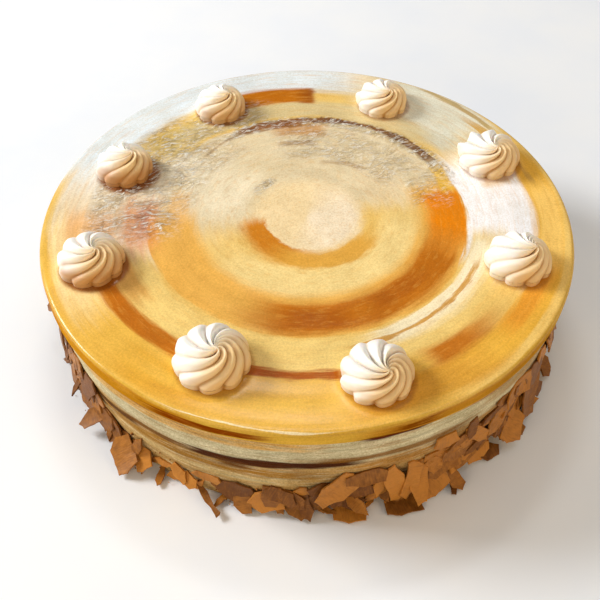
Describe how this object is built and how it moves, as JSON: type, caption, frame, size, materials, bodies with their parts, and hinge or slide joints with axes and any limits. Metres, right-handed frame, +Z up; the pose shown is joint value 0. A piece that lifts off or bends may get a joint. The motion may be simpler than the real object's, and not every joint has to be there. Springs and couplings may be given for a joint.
{
  "type": "mocha cake",
  "caption": "Round marbled caramel-glazed mocha cake with piped cream swirls near the rim and a collar of chocolate flakes at the foot.",
  "frame": {"origin": "centre of the cake's round underside, on the surface it stands on", "axes": "+Z up along the cake's axis, -Y towards the side shown as the front, +X to its right"},
  "size_m": [0.2624, 0.2588, 0.0814],
  "materials": {
    "marbled_glaze": "glossy caramel and cream glaze, marbled",
    "piped_cream": "soft ivory piped cream"
  },
  "bodies": {
    "root": {"cake": "marbled_glaze", "rosette_1": "piped_cream", "rosette_2": "piped_cream", "rosette_3": "piped_cream", "rosette_4": "piped_cream", "rosette_5": "piped_cream", "rosette_6": "piped_cream", "rosette_7": "piped_cream", "rosette_8": "piped_cream"}
  },
  "joints": []
}
